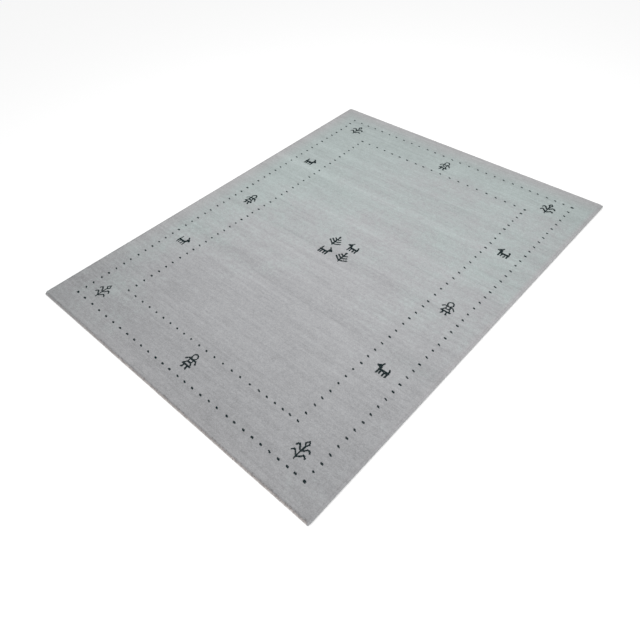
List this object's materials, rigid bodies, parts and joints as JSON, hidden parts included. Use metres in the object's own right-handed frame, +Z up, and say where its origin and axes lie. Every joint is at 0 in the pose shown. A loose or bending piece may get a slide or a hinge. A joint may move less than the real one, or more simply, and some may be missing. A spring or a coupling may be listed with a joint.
{
  "type": "gabbeh rug",
  "caption": "Flat rectangular hand-knotted wool rug with short pile, flat-woven ends and overcast side cords, for laying on a floor.",
  "frame": {"origin": "middle of the flat underside, on the floor", "axes": "+Z up out of the pile, +Y along the rug's length (the warp), +X across the rug (the weft)"},
  "size_m": [1.5, 1.974, 0.012],
  "materials": {
    "grey_wool_pile": "clipped wool pile in a streaky pale blue-grey",
    "grey_wool_overcast": "grey wool yarn wound close round a cord",
    "dark_wool_motifs": "clipped wool pile in a near-black blue-green",
    "woven_ends": "flat-woven brownish grey yarn"
  },
  "bodies": {
    "root": {"rug_field": "grey_wool_pile", "side_cord_left": "grey_wool_overcast", "side_cord_right": "grey_wool_overcast"}
  },
  "joints": []
}
